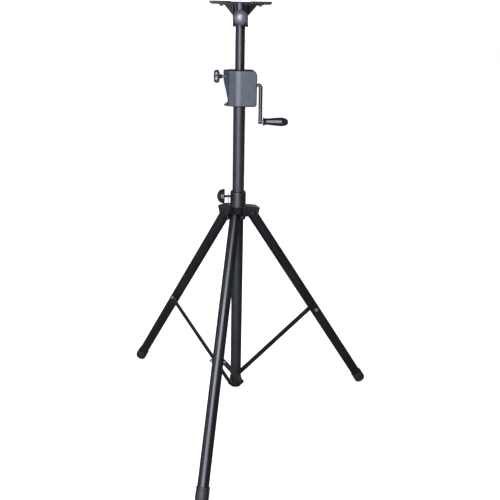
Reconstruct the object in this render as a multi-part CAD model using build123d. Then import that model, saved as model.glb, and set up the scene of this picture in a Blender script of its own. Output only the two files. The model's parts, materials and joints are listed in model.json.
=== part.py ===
from build123d import *

import math
import os

# Crank-up speaker tripod stand, drawn standing on its three feet. Millimetres.
# Origin on the floor, on the mast's axis. +Z up along the mast, +X towards the crank, -Y the front.

# ---- driving dimensions -------------------------------------------------------------------
LEG_NAMES = ("front", "right", "left")
FRONT_LEG_ANGLE = -100.42          # degrees about Z, from +X, of the front leg
LEG_TILT = 33.28                   # degrees between an open leg and the mast
HUB_PIVOT_R, HUB_PIVOT_Z = 56.5, 875.5
LEG_R, LEG_WALL = 21.0, 1.5
FOOT_R, FOOT_RISE = 24.5, 62.0     # rubber foot: radius, height of its rim along the leg
LEG_TOP = 8.0                      # leg tube beyond the hub pivot
BRACE_ON_LEG = 494.0               # brace bolt above the floor, measured along the leg

MAST_R, MAST_WALL = 17.5, 1.5      # upper (lifting) tube
COLUMN_R, COLUMN_WALL = 22.5, 1.2  # lower (fixed) tube
COLUMN_BOTTOM, COLUMN_TOP = 100.0, 1409.0
MAST_BOTTOM, MAST_TOP = 470.0, 1616.0

TUBE_RISE = 3.0                    # lower end of the column tube above the collar's
BRACE_PIVOT_R, BRACE_PIVOT_Z = 6.0, 120.5
BRACE_WIDTH, BRACE_THICK = 22.5, 3.0
BRACE_TOP_SIDE = 21.8              # inner face of a brace, sideways from its leg's plane, at the leg
BRACE_LOW_SIDE = 28.0              # the same at the column
PIVOT_PIN_R, PIVOT_HOLE_R = 4.0, 4.1
BOLT_HEAD_ACROSS = 13.0

HUB_R, HUB_BOTTOM, HUB_TOP = 30.5, 853.5, 964.0
BRACKET_HALF, BRACKET_SHEET = 25.0, 2.5
HUB_KNOB_Z = 942.0

CASE_BOTTOM, CASE_TOP = 1287.5, 1417.0
CASE_LEFT, CASE_RIGHT = -42.0, 63.5
CASE_LEFT_FRONT, CASE_RIGHT_FRONT, CASE_REAR = -16.0, -25.0, 40.0
CASE_NOSE_R = 35.0                 # round front of the case, over the column
CASE_WALL = 2.6
TOP_CORNER_R, LOW_CORNER_R, CASE_EDGE_R = 22.0, 10.0, 4.0
WINCH_KNOB_Z = 1393.0
LOCK_WING_LEFT = -60.0

CRANK_Y, CRANK_Z, CRANK_RADIUS = -9.0, 1364.5, 131.0
CRANK_ROD_R, CRANK_SHAFT_R = 7.2, 5.0
GEAR_MODULE, PINION_TEETH, WHEEL_TEETH = 1.25, 16, 32
DRUM_Y = 15.0                      # also the radius at which the cable winds
CABLE_R = 0.9
CABLE_GAP_X = 18.65                # cable's place between the two tubes

PLATE_TOP, PLATE_THICK = 1647.0, 5.0
PLATE_X, PLATE_Y = 107.5, 80.0     # half sizes
SOCKET_BOTTOM, SOCKET_TOP_R, SOCKET_BOTTOM_R = 1573.0, 32.5, 28.0
HEAD_KNOB_Z = 1594.0

# ---- worked out ---------------------------------------------------------------------------
TILT = math.radians(LEG_TILT)
LEG_LENGTH = HUB_PIVOT_Z / math.cos(TILT)          # hub pivot to the floor, along the leg
BRACE_TOP_ALONG = LEG_LENGTH - BRACE_ON_LEG        # hub pivot to brace bolt
BRACE_TOP_R = HUB_PIVOT_R + BRACE_TOP_ALONG * math.sin(TILT)
BRACE_TOP_Z = HUB_PIVOT_Z - BRACE_TOP_ALONG * math.cos(TILT)
BRACE_LENGTH = math.hypot(BRACE_TOP_R - BRACE_PIVOT_R, BRACE_TOP_Z - BRACE_PIVOT_Z)
PINION_PITCH_R = GEAR_MODULE * PINION_TEETH / 2
WHEEL_PITCH_R = GEAR_MODULE * WHEEL_TEETH / 2
GEAR_CENTRES = PINION_PITCH_R + WHEEL_PITCH_R
DRUM_Z = CRANK_Z - math.sqrt(GEAR_CENTRES**2 - (DRUM_Y - CRANK_Y)**2)
ROLLER_R = 6.1                                     # from roller's centre to the cable's centre
ROLLER_X, ROLLER_Z = CABLE_GAP_X + ROLLER_R, 1388.0

BASE = (Align.CENTER, Align.CENTER, Align.MIN)
nodes = {}


# ---- helpers ------------------------------------------------------------------------------
def rod(start, end, radius):
    """A round bar from one point to another."""
    span = Vector(*end) - Vector(*start)
    return Plane(origin=start, z_dir=span) * Cylinder(radius, span.length, align=BASE)


def pipe(start, end, outer_r, inner_r):
    return rod(start, end, outer_r) - rod(start, end, inner_r)


def turned(profile, origin, axis, sideways):
    """A round piece from (radius, distance along the axis) points, turned about an axis."""
    lathe = Plane(origin=origin, x_dir=sideways, z_dir=Vector(*sideways).cross(Vector(*axis)))
    face = lathe * make_face(Polyline(*profile, close=True))
    return revolve(face, Axis(origin, axis), 360)


def slab(points, plane, thickness):
    """A flat plate with an outline of straight runs."""
    return extrude(plane * make_face(Polyline(*points, close=True)), thickness)


def box(low, high):
    size = [high[i] - low[i] for i in range(3)]
    return Pos(*low) * Box(*size, align=(Align.MIN, Align.MIN, Align.MIN))


def hexagon(start, end, across):
    span = Vector(*end) - Vector(*start)
    outline = RegularPolygon(across / 2, 6, major_radius=False)
    return extrude(Plane(origin=start, z_dir=span) * outline, span.length)


def upright(y):
    """Drawing plane for side views: x stays x, up stays up, the normal points to -Y."""
    return Plane(origin=(0, y, 0), x_dir=(1, 0, 0), z_dir=(0, -1, 0))


def crossbar(y, z, radius, low_x=20.0, high_x=62.0):
    """A round bar along X."""
    return rod((low_x, y, z), (high_x, y, z), radius)


def on_leg(shape, index):
    """Turn a piece drawn on the +X leg to the place of one of the three legs."""
    return Rot(0, 0, FRONT_LEG_ANGLE + 120 * index) * shape


def solids(shape):
    return list(shape.solids())


def add(name, *shapes):
    pieces = [piece for shape in shapes for piece in solids(shape)]
    nodes[name] = pieces[0] if len(pieces) == 1 else Compound(children=pieces)


def gear(teeth, width, start, angle=0.0):
    """Spur gear about +X with straight-flanked teeth, from start towards +X."""
    pitch_r = GEAR_MODULE * teeth / 2
    step = 360 / teeth
    root_r, tip_r = pitch_r - 1.2 * GEAR_MODULE, pitch_r + 0.9 * GEAR_MODULE
    outline = []
    for tooth in range(teeth):
        for radius, share in ((root_r, -0.36), (tip_r, -0.13), (tip_r, 0.13), (root_r, 0.36)):
            turn = math.radians(angle + step * (tooth + share))
            outline.append((radius * math.cos(turn), radius * math.sin(turn)))
    return slab(outline, Plane(origin=start, x_dir=(0, 1, 0), z_dir=(1, 0, 0)), width)


# ---- legs, feet and braces ----------------------------------------------------------------
def leg_point(along, side=0.0, out=0.0):
    """Point on an open leg: distance down from the hub pivot, sideways, and off the axis."""
    return (
        HUB_PIVOT_R + along * math.sin(TILT) + out * math.cos(TILT),
        side,
        HUB_PIVOT_Z - along * math.cos(TILT) + out * math.sin(TILT),
    )


def leg_tube():
    end = LEG_LENGTH - 30.0
    tube = pipe(leg_point(-LEG_TOP), leg_point(end), LEG_R, LEG_R - LEG_WALL)
    for along in (0.0, BRACE_TOP_ALONG):
        tube -= rod(leg_point(along, -30), leg_point(along, 30), PIVOT_PIN_R + 0.15)
    return tube


def foot():
    rim = LEG_LENGTH - FOOT_RISE
    dome = LEG_LENGTH - FOOT_R / math.cos(TILT)
    down = (math.sin(TILT), 0, -math.cos(TILT))
    sideways = (math.cos(TILT), 0, math.sin(TILT))
    depth = dome - rim
    lip = 2.0
    outline = [
        (LEG_R, 0), (FOOT_R - lip, 0), (FOOT_R, lip), (FOOT_R, 9), (FOOT_R - 1.2, 10.5),
        (FOOT_R - 1.2, 12.5), (FOOT_R, 14), (FOOT_R, depth),
    ]
    arc_steps = 9
    for step in range(1, arc_steps + 1):
        turn = math.pi / 2 * step / arc_steps
        outline.append((FOOT_R * math.cos(turn), depth + FOOT_R * math.sin(turn)))
    seat = LEG_LENGTH - 30.0 - rim
    outline += [(0, seat), (LEG_R, seat)]
    return turned(outline, leg_point(rim), down, sideways)


def leg_bolt():
    """Brace bolt held by the leg: shank right through the tube, washer, nut and thread end."""
    at, face = BRACE_TOP_ALONG, -LEG_R
    shank = rod(leg_point(at, face - 11.5), leg_point(at, LEG_R + 0.3), PIVOT_PIN_R)
    washer = rod(leg_point(at, face - 1.4), leg_point(at, face), 8.5)
    nut = hexagon(leg_point(at, face - 7.9), leg_point(at, face - 1.4), BOLT_HEAD_ACROSS)
    return shank + washer + nut


def brace_bar():
    """Flat bar with round ends, from the column to the side of the leg."""
    low = Vector(BRACE_PIVOT_R, BRACE_LOW_SIDE + BRACE_THICK, BRACE_PIVOT_Z)
    high = Vector(BRACE_TOP_R, BRACE_TOP_SIDE + BRACE_THICK, BRACE_TOP_Z)
    span = high - low
    plane = Plane(origin=low, x_dir=span, z_dir=span.cross(Vector(0, -1, 0)).cross(span))
    outline = Pos(span.length / 2, 0) * SlotCenterToCenter(span.length, BRACE_WIDTH)
    bar = extrude(plane * outline, BRACE_THICK)
    bar = chamfer([edge for edge in bar.edges() if edge.length > BRACE_WIDTH], 0.5)
    for r, z in ((BRACE_PIVOT_R, BRACE_PIVOT_Z), (BRACE_TOP_R, BRACE_TOP_Z)):
        bar -= rod((r, 10, z), (r, 50, z), PIVOT_HOLE_R)
    return bar


def brace_rivet():
    """The half of the brace bolt that stays with the brace: stub and low head."""
    outer = BRACE_TOP_SIDE + BRACE_THICK + 0.15
    at = BRACE_TOP_ALONG
    stub = rod(leg_point(at, BRACE_TOP_SIDE), leg_point(at, outer + 0.5), PIVOT_HOLE_R)
    low_head = rod(leg_point(at, outer), leg_point(at, outer + 1.6), 8.0)
    return stub + low_head + hexagon(leg_point(at, outer + 1.6), leg_point(at, outer + 5.0), 11.0)


# ---- column foot --------------------------------------------------------------------------
BOSS_R, COLLAR_WALL, COLLAR_HEIGHT = 9.5, 2.5, 42.0
BOSS_FACE = BRACE_LOW_SIDE - 0.35


def across_pivot(start, end, radius):
    """Round bar along a brace's pivot at the column, drawn on the +X leg."""
    return rod((BRACE_PIVOT_R, start, BRACE_PIVOT_Z), (BRACE_PIVOT_R, end, BRACE_PIVOT_Z), radius)


def bottom_collar():
    """Cup on the column's lower end, with a boss for each brace."""
    ring = Pos(0, 0, COLUMN_BOTTOM) * Cylinder(COLUMN_R + COLLAR_WALL, COLLAR_HEIGHT, align=BASE)
    ring = fillet(ring.edges().group_by(Axis.Z)[0], 2.5)
    for index in range(3):
        ring += on_leg(across_pivot(12, BOSS_FACE, BOSS_R), index)
    ring -= Pos(0, 0, COLUMN_BOTTOM - 1) * Cylinder(COLUMN_R, COLLAR_HEIGHT + 2, align=BASE)
    for index in range(3):
        ring -= on_leg(across_pivot(10, 40, PIVOT_PIN_R), index)
    return ring


def brace_pivot_bolt():
    """Bolt from a collar boss out through the brace, with its head outside."""
    r, z = BRACE_PIVOT_R, BRACE_PIVOT_Z
    outer = BRACE_LOW_SIDE + BRACE_THICK + 0.25
    head = hexagon((r, outer, z), (r, outer + 5, z), BOLT_HEAD_ACROSS)
    return across_pivot(COLUMN_R + 0.2, outer + 1, PIVOT_PIN_R) + head


def column_end_cap():
    """Plug in the lower end of the column."""
    inner, rise = COLUMN_R - COLUMN_WALL, TUBE_RISE
    outline = [(0, 0), (COLUMN_R - 1, 0), (COLUMN_R, 1), (COLUMN_R, rise)]
    outline += [(inner, rise), (inner, 24), (0, 24)]
    return turned(outline, (0, 0, COLUMN_BOTTOM), (0, 0, 1), (1, 0, 0))


# ---- hub ----------------------------------------------------------------------------------
def hub_collar():
    wall = pipe((0, 0, HUB_BOTTOM), (0, 0, HUB_TOP), HUB_R, COLUMN_R + 2.2)
    rim = wall.edges().filter_by(GeomType.CIRCLE).group_by(Axis.Z)[-1].sort_by(SortBy.RADIUS)[-1]
    wall = fillet(rim, 4.5)
    wall -= rod((-40, 0, HUB_KNOB_Z), (-10, 0, HUB_KNOB_Z), 5.2)
    return wall


def hub_liner():
    rings = ((HUB_BOTTOM + 1, HUB_BOTTOM + 26), (HUB_TOP - 14, HUB_TOP - 1))
    return [pipe((0, 0, low), (0, 0, high), COLUMN_R + 2.2, COLUMN_R + 0.3) for low, high in rings]


def leg_bracket():
    """Inverted U of folded sheet, welded to the collar, open downwards over the leg."""
    top_in, top_out = (16.0, HUB_PIVOT_Z + 32.0), (84.0, HUB_PIVOT_Z + 21.0)
    low_out, low_in = (76.0, HUB_PIVOT_Z - 10.0), (16.0, HUB_PIVOT_Z - 12.0)
    flange = [top_in, top_out, low_out, low_in]
    outer = slab(flange, upright(BRACKET_HALF), 2 * BRACKET_HALF)
    drop = BRACKET_SHEET
    gap = [(0, top_in[1] - drop + 2.6), (94, top_out[1] - drop - 1.6), (94, HUB_BOTTOM), (0, HUB_BOTTOM)]
    inner_half = BRACKET_HALF - BRACKET_SHEET
    bracket = outer - slab(gap, upright(inner_half), 2 * inner_half)
    bracket -= Pos(0, 0, 800) * Cylinder(HUB_R, 200, align=BASE)
    bracket -= rod((HUB_PIVOT_R, -40, HUB_PIVOT_Z), (HUB_PIVOT_R, 40, HUB_PIVOT_Z), PIVOT_PIN_R)
    return bracket


def leg_pivot_bolt():
    """Bolt and nut through a bracket, with a nylon washer each side of the leg."""
    def at(side):
        return (HUB_PIVOT_R, side, HUB_PIVOT_Z)
    face = BRACKET_HALF
    shank = rod(at(-face - 0.5), at(face + 8), PIVOT_PIN_R)
    head = hexagon(at(-face - 5), at(-face), BOLT_HEAD_ACROSS)
    nut = hexagon(at(face), at(face + 6.5), BOLT_HEAD_ACROSS) - rod(at(face), at(face + 8), PIVOT_PIN_R)
    inner = face - BRACKET_SHEET
    washers = [pipe(at(side), at(side + 1.3), 9.0, PIVOT_PIN_R) for side in (-inner, inner - 1.3)]
    return [shank + head, nut, *washers]


TAB_HALF, TAB_FRONT, TAB_SHEET = 7.0, -40.5, 3.5
TAB_LOW, TAB_TOP = 909.5, 950.0


def lock_screw_tab():
    """Bent strip welded to the collar that the hub's lock screw passes through."""
    strip = box((TAB_FRONT, -TAB_HALF, TAB_LOW), (TAB_FRONT + TAB_SHEET, TAB_HALF, TAB_TOP))
    strip += box((TAB_FRONT, -TAB_HALF, TAB_LOW), (-COLUMN_R, TAB_HALF, TAB_LOW + TAB_SHEET))
    strip -= Pos(0, 0, TAB_LOW - 5) * Cylinder(HUB_R, TAB_TOP - TAB_LOW, align=BASE)
    strip -= rod((TAB_FRONT - 5, 0, HUB_KNOB_Z), (TAB_FRONT + 5, 0, HUB_KNOB_Z), HUB_SCREW_R + 0.3)
    return strip


# ---- lock knobs, drawn about +Z from the pad's face at z = 0 ------------------------------
HUB_SCREW_R, WINCH_SCREW_R, HEAD_SCREW_R = 5.0, 4.4, 5.0
PAD_HEIGHT = 4.0
SCREW_START = PAD_HEIGHT + 0.2


def facing(origin, direction):
    return Plane(origin=origin, z_dir=direction)


def clamp_pad(radius):
    return Cylinder(radius, PAD_HEIGHT, align=BASE)


def clamp_screw(end, radius):
    return Pos(0, 0, SCREW_START) * Cylinder(radius, end - SCREW_START, align=BASE)


def lobed_knob(outer_r, lobes, dent_r, low, high, neck_r, neck_low, screw_r, screw_end):
    """Knob with rounded finger dents and a conical neck."""
    head = Pos(0, 0, low) * Cylinder(outer_r, high - low, align=BASE)
    rims = head.edges().filter_by(GeomType.CIRCLE)
    head = fillet(rims, min(3.5, (high - low) / 3))
    for lobe in range(lobes):
        spot = Rot(0, 0, 360 / lobes * lobe) * Pos(outer_r + dent_r * 0.55, 0, low - 1)
        head -= spot * Cylinder(dent_r, high - low + 2, align=BASE)
    neck = Pos(0, 0, neck_low) * Cone(neck_r, neck_r * 1.7, low - neck_low + 1, align=BASE)
    knob = head + neck
    return knob - Pos(0, 0, neck_low - 1) * Cylinder(screw_r, screw_end - neck_low + 1, align=BASE)


def domed_knob(outer_r, dome_r, low, skirt, dome_height, screw_r, screw_end):
    """Round knob with a short skirt and a domed outer face set in from its rim."""
    outline = [(0, 0), (outer_r - 2, 0), (outer_r, 2), (outer_r, skirt - 1)]
    outline += [(outer_r - 1, skirt), (dome_r, skirt)]
    steps = 8
    for step in range(1, steps):
        turn = math.pi / 2 * step / steps
        outline.append((dome_r * math.cos(turn), skirt + dome_height * math.sin(turn)))
    outline.append((0, skirt + dome_height))
    knob = turned(outline, (0, 0, low), (0, 0, 1), (1, 0, 0))
    return knob - Pos(0, 0, low - 1) * Cylinder(screw_r, screw_end - low + 1, align=BASE)


# ---- winch --------------------------------------------------------------------------------
def case_outline(inset):
    """Front view of the winch case, its right corners rounded, shrunk by inset."""
    low_x, high_x = CASE_LEFT + inset, CASE_RIGHT - inset
    low_z, high_z = CASE_BOTTOM + inset, CASE_TOP - inset
    corners = [(low_x, low_z), (high_x, low_z), (high_x, high_z), (low_x, high_z)]
    face = make_face(Polyline(*corners, close=True))
    face = fillet(face.vertices().sort_by(Axis.X)[-2:].sort_by(Axis.Y)[-1], TOP_CORNER_R - inset)
    return fillet(face.vertices().sort_by(Axis.Y)[:2].sort_by(Axis.X)[-1], LOW_CORNER_R - inset)


def tangent_point(corner, radius, side):
    """Where a line from a corner touches the round front, on one side of it."""
    reach = math.hypot(*corner)
    angle = math.atan2(corner[1], corner[0]) + side * math.acos(radius / reach)
    return (radius * math.cos(angle), radius * math.sin(angle))


def case_plan(inset):
    """Top view of the winch case: round over the column, sloping back to both sides."""
    radius = CASE_NOSE_R - inset
    left = (CASE_LEFT + inset, CASE_LEFT_FRONT + inset)
    right = (CASE_RIGHT - inset, CASE_RIGHT_FRONT + inset)
    rear = CASE_REAR - inset
    outline = [
        (left[0], rear), left, tangent_point(left, radius, 1),
        tangent_point(right, radius, -1), right, (right[0], rear),
    ]
    return make_face(Polyline(*outline, close=True)) + Circle(radius)


def case_block(inset):
    """Winch case filled solid, with sharp edges."""
    low, high = CASE_BOTTOM + inset, CASE_TOP - inset
    front_view = extrude(upright(60) * case_outline(inset), 120)
    return front_view & extrude(Plane.XY.offset(low) * case_plan(inset), high - low)


def rounded_case():
    """The case with its front rim and its rear edges rounded."""
    block = case_block(0)
    creases = CASE_TOP - CASE_BOTTOM - 1           # full-height edges, left sharp
    front = [edge for edge in block.edges() if edge.center().Y < -8 and edge.length < creases]
    rear = [edge for edge in block.edges() if edge.center().Y > CASE_REAR - 1]
    rear = [edge for edge in rear if edge.center().X > CASE_LEFT + 1]
    return fillet(front + rear, CASE_EDGE_R)


def lock_wing():
    """Wedge on the case's left side that carries the lock screw, and the small foot below."""
    left = LOCK_WING_LEFT
    plan = [(CASE_LEFT + 1, -16.8), (left + 1.5, 1), (left, 4), (left, 9), (CASE_LEFT + 1, 14)]
    high_wing = slab(plan, Plane.XY.offset(CASE_BOTTOM), CASE_TOP - CASE_BOTTOM)
    side = [
        (CASE_LEFT + 2, CASE_TOP), (left + 3, CASE_TOP), (left, CASE_TOP - 3), (left, CASE_TOP - 35),
        (-44.5, CASE_BOTTOM + 29), (-43.5, CASE_BOTTOM + 15), (-57.5, CASE_BOTTOM + 4.5),
        (-57.5, CASE_BOTTOM + 1.5), (CASE_LEFT + 2, CASE_BOTTOM),
    ]
    wing = high_wing & slab(side, upright(40), 80)
    hole_z = CASE_TOP - 51
    return wing - rod((-56, -10, hole_z), (-48, -2, hole_z), 2.0)


def case_openings():
    column_hole = Pos(0, 0, CASE_BOTTOM - 5) * Cylinder(COLUMN_R + 0.3, 20, align=BASE)
    mast_hole = Pos(0, 0, CASE_TOP - 12) * Cylinder(MAST_R + 1.0, 20, align=BASE)
    shaft_hole = crossbar(CRANK_Y, CRANK_Z, CRANK_ROD_R + 1.0, CASE_RIGHT - 15, CASE_RIGHT + 10)
    screw_hole = rod((LOCK_WING_LEFT - 5, 0, WINCH_KNOB_Z), (-20, 0, WINCH_KNOB_Z), 5.2)
    return column_hole + mast_hole + shaft_hole + screw_hole


LOW_SCREW_Z, HIGH_SCREW_Z = CASE_BOTTOM + 9.0, CASE_TOP - 9.5
SCREW_SPOTS = ((-34, LOW_SCREW_Z), (-34, HIGH_SCREW_Z), (44, LOW_SCREW_Z), (40, HIGH_SCREW_Z))
COVER_SCREW_R = 1.5


def cover(front):
    """One moulded half of the winch case, split at y = 0."""
    hollow = case_block(CASE_WALL)
    shell = rounded_case() + lock_wing() - hollow
    within = case_block(1.0)
    for x, z in SCREW_SPOTS:
        shell += rod((x, -50, z), (x, 50, z), 4.0) & within
        shell -= rod((x, -15, z), (x, 0, z), COVER_SCREW_R)
        shell -= rod((x, 0, z), (x, CASE_REAR + 1, z), COVER_SCREW_R + 0.2)
    near, far = (-60, 0) if front else (0, 60)
    return (shell - case_openings()) & box((-90, near, 1250), (90, far, 1450))


def cover_screw(x, z):
    head = rod((x, CASE_REAR, z), (x, CASE_REAR + 2.2, z), 3.6)
    slot = box((x - 2.4, CASE_REAR + 1.0, z - 0.5), (x + 2.4, CASE_REAR + 3, z + 0.5))
    cross = box((x - 0.5, CASE_REAR + 1.0, z - 2.4), (x + 0.5, CASE_REAR + 3, z + 2.4))
    return head + rod((x, -14, z), (x, CASE_REAR + 0.5, z), COVER_SCREW_R) - slot - cross


FRAME_IN, FRAME_OUT, FRAME_SHEET = 23.2, 57.0, 2.0
FRAME_FRONT, FRAME_REAR = -19.0, 37.0
FRAME_FLOOR, FRAME_INNER_TOP, FRAME_OUTER_TOP = 1307.0, 1400.0, 1380.0
BUSH_WALL, BUSH_FLANGE_R = 1.5, 8.0
DRUM_AXLE_R, ROLLER_PIN_R = 4.0, 2.0


def gear_frame():
    """Folded U of sheet steel that holds the crank shaft, the drum and the guide roller."""
    far = FRAME_OUT + FRAME_SHEET
    frame = box((FRAME_IN, FRAME_FRONT, FRAME_FLOOR), (FRAME_IN + FRAME_SHEET, FRAME_REAR, FRAME_INNER_TOP))
    frame += box((FRAME_OUT, FRAME_FRONT, FRAME_FLOOR), (far, FRAME_REAR, FRAME_OUTER_TOP))
    frame += box((FRAME_IN, FRAME_FRONT, FRAME_FLOOR - 1), (far, FRAME_REAR, FRAME_FLOOR + 1))
    frame -= crossbar(CRANK_Y, CRANK_Z, CRANK_SHAFT_R + BUSH_WALL)
    frame -= crossbar(DRUM_Y, DRUM_Z, DRUM_AXLE_R)
    frame -= box((15, -4.2, ROLLER_Z - 9), (34, 4.2, FRAME_INNER_TOP + 3))
    for side in (-1, 1):
        frame += box((FRAME_IN, side * 5.3 - 1, ROLLER_Z - 7), (34, side * 5.3 + 1, FRAME_INNER_TOP))
    return frame - rod((ROLLER_X, -10, ROLLER_Z), (ROLLER_X, 10, ROLLER_Z), ROLLER_PIN_R)


def crank_bush(plate_x, flange_x):
    """Flanged bush pressed into one side of the gear frame."""
    sleeve = crossbar(CRANK_Y, CRANK_Z, CRANK_SHAFT_R + BUSH_WALL, plate_x, plate_x + FRAME_SHEET)
    flange = crossbar(CRANK_Y, CRANK_Z, BUSH_FLANGE_R, flange_x, flange_x + 1.6)
    return sleeve + flange - crossbar(CRANK_Y, CRANK_Z, CRANK_SHAFT_R + 0.05)


def crank_bushes():
    return [crank_bush(FRAME_IN, FRAME_IN + FRAME_SHEET), crank_bush(FRAME_OUT, FRAME_OUT - 1.6)]


def winch_axles():
    drum_axle = crossbar(DRUM_Y, DRUM_Z, DRUM_AXLE_R, FRAME_IN, FRAME_OUT + 2.8)
    roller_pin = rod((ROLLER_X, -7.2, ROLLER_Z), (ROLLER_X, 7.2, ROLLER_Z), ROLLER_PIN_R)
    return [drum_axle, roller_pin]


def guide_roller():
    rim = ROLLER_R + 1.2
    groove = ROLLER_R - CABLE_R - 0.05
    outline = [
        (2.05, -3.6), (rim - 0.4, -3.6), (rim - 0.4, -2.6), (groove, -1.1), (groove, 1.1),
        (rim - 0.4, 2.6), (rim - 0.4, 3.6), (2.05, 3.6),
    ]
    return turned(outline, (ROLLER_X, 0, ROLLER_Z), (0, 1, 0), (1, 0, 0))


DRUM_LOW, WHEEL_LOW, WHEEL_HIGH = 27.0, 45.0, 53.0
DRUM_CORE_R, DRUM_FLANGE_R, DRUM_HUB_R = 11.0, 20.0, 6.5


def drum_wheel():
    turn = math.degrees(math.atan2(CRANK_Z - DRUM_Z, CRANK_Y - DRUM_Y))
    half_tooth = 180 / WHEEL_TEETH
    wheel = gear(WHEEL_TEETH, WHEEL_HIGH - WHEEL_LOW, (WHEEL_LOW, DRUM_Y, DRUM_Z), turn + half_tooth)
    return wheel - crossbar(DRUM_Y, DRUM_Z, DRUM_HUB_R)


def cable_drum():
    core, flange, hub, bore = DRUM_CORE_R, DRUM_FLANGE_R, DRUM_HUB_R, DRUM_AXLE_R + 0.05
    outline = [
        (bore, 0), (flange, 0), (flange, 1.8), (core, 1.8), (core, 15.2), (flange, 15.2),
        (flange, 18.0), (hub, 18.0), (hub, 26.0), (9.5, 26.0), (9.5, 28.0), (bore, 28.0),
    ]
    return turned(outline, (DRUM_LOW, DRUM_Y, DRUM_Z), (1, 0, 0), (0, 1, 0))


def cable_wraps():
    """Wound layers of cable on the drum, with a rounded ridge for each turn."""
    core, top = DRUM_CORE_R, DRUM_Y - CABLE_R - 0.15
    pitch, low, turns = 2 * CABLE_R, 2.0, 7
    outline = [(core, low)]
    for turn in range(turns):
        start = low + turn * pitch
        outline += [(top - 0.5, start + 0.1), (top, start + 0.6)]
        outline += [(top, start + 1.2), (top - 0.5, start + 1.7)]
    outline.append((core, low + turns * pitch))
    return turned(outline, (DRUM_LOW, DRUM_Y, DRUM_Z), (1, 0, 0), (0, 1, 0))


def winch_cable():
    """Cable from the drum up, over the guide roller and down to where it enters the column."""
    right = ROLLER_X + ROLLER_R
    start = (right, 0, DRUM_Z + 1)
    up = Line(start, (right, 0, ROLLER_Z))
    top = (ROLLER_X, 0, ROLLER_Z + ROLLER_R)
    over = ThreePointArc((right, 0, ROLLER_Z), top, (CABLE_GAP_X, 0, ROLLER_Z))
    profile = Plane(origin=start, z_dir=(0, 0, 1)) * Circle(CABLE_R)
    return sweep(profile, up + over)


ARM_X, ELBOW_R, EYE_R = 77.5, 9.5, 9.2
GRIP_Z = CRANK_Z - CRANK_RADIUS
GRIP_PIN_R = 3.5
GRIP_START, GRIP_END = 88.5, 183.5


def crank_arm():
    """Bent round bar: shaft through the case, quarter bend, long arm and an eye for the grip's pin."""
    start_x, middle = ARM_X - ELBOW_R, math.sqrt(0.5) * ELBOW_R
    start = (start_x, CRANK_Y, CRANK_Z)
    halfway = (start_x + middle, CRANK_Y, CRANK_Z - ELBOW_R + middle)
    elbow = ThreePointArc(start, halfway, (ARM_X, CRANK_Y, CRANK_Z - ELBOW_R))
    bar = sweep(Plane(origin=start, z_dir=(1, 0, 0)) * Circle(CRANK_ROD_R), elbow)
    bar += crossbar(CRANK_Y, CRANK_Z, CRANK_SHAFT_R, FRAME_IN, start_x)
    bar += rod((ARM_X, CRANK_Y, CRANK_Z - ELBOW_R), (ARM_X + 1, CRANK_Y, GRIP_Z - 4), CRANK_ROD_R)
    bar += crossbar(CRANK_Y, GRIP_Z, EYE_R, ARM_X - 6.4, ARM_X + 8.3)
    return bar - crossbar(CRANK_Y, GRIP_Z, GRIP_PIN_R, ARM_X - 10, ARM_X + 10)


def grip_pin():
    shank = crossbar(CRANK_Y, GRIP_Z, GRIP_PIN_R, ARM_X - 7.5, GRIP_END - 25)
    return shank + crossbar(CRANK_Y, GRIP_Z, 5.4, ARM_X + 8.5, GRIP_START - 0.4)


def crank_pinion():
    turn = math.degrees(math.atan2(DRUM_Z - CRANK_Z, DRUM_Y - CRANK_Y))
    pinion = gear(PINION_TEETH, WHEEL_HIGH - WHEEL_LOW, (WHEEL_LOW + 0.3, CRANK_Y, CRANK_Z), turn)
    pinion += crossbar(CRANK_Y, CRANK_Z, 7.5, WHEEL_LOW - 8, WHEEL_LOW + 1)
    return pinion - crossbar(CRANK_Y, CRANK_Z, CRANK_SHAFT_R)


def crank_grip():
    """Turned handle: flange at the arm's end, waist, swelling body and blunt point."""
    length = GRIP_END - GRIP_START
    bore, bore_depth = GRIP_PIN_R + 0.15, length - 22
    start = (GRIP_START, CRANK_Y, GRIP_Z)
    lathe = Plane(origin=start, x_dir=(0, 0, 1), z_dir=Vector(0, 0, 1).cross(Vector(1, 0, 0)))
    flange = Polyline((bore, 0), (13.5, 0), (15.2, 1.6), (15.2, 3.4))
    body = Spline((15.2, 3.4), (11.8, 12), (13.0, 30), (14.8, 50), (15.8, 68), (13.2, 85), (0, length))
    hollow = Polyline((0, length), (0, bore_depth), (bore, bore_depth), (bore, 0))
    return revolve(lathe * make_face(flange + body + hollow), Axis(start, (1, 0, 0)), 360)


# ---- mast ---------------------------------------------------------------------------------
def mast_bush():
    """Guide on the lower end of the lifting tube; the cable's end is clamped in its pocket."""
    ring = pipe((0, 0, MAST_BOTTOM - 8), (0, 0, MAST_BOTTOM + 26), COLUMN_R - COLUMN_WALL - 0.3, MAST_R)
    ring += pipe((0, 0, MAST_BOTTOM - 8), (0, 0, MAST_BOTTOM), COLUMN_R - COLUMN_WALL - 0.3, 12.0)
    pocket = rod((CABLE_GAP_X, 0, MAST_BOTTOM + 12), (CABLE_GAP_X, 0, MAST_BOTTOM + 30), CABLE_R + 0.4)
    return ring - pocket


def upper_bush():
    low = COLUMN_TOP - 14
    ring = pipe((0, 0, low + 4), (0, 0, COLUMN_TOP + 3), COLUMN_R - COLUMN_WALL, MAST_R + 0.3)
    return ring + pipe((0, 0, COLUMN_TOP), (0, 0, COLUMN_TOP + 3), COLUMN_R, MAST_R + 0.3)


def column_tube():
    tube = pipe((0, 0, COLUMN_BOTTOM + TUBE_RISE), (0, 0, COLUMN_TOP), COLUMN_R, COLUMN_R - COLUMN_WALL)
    tube -= box((10, -4.0, ROLLER_Z - 9), (24, 4.0, ROLLER_Z + 9))
    return tube - rod((-30, 0, WINCH_KNOB_Z), (-10, 0, WINCH_KNOB_Z), 4.6)


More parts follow.
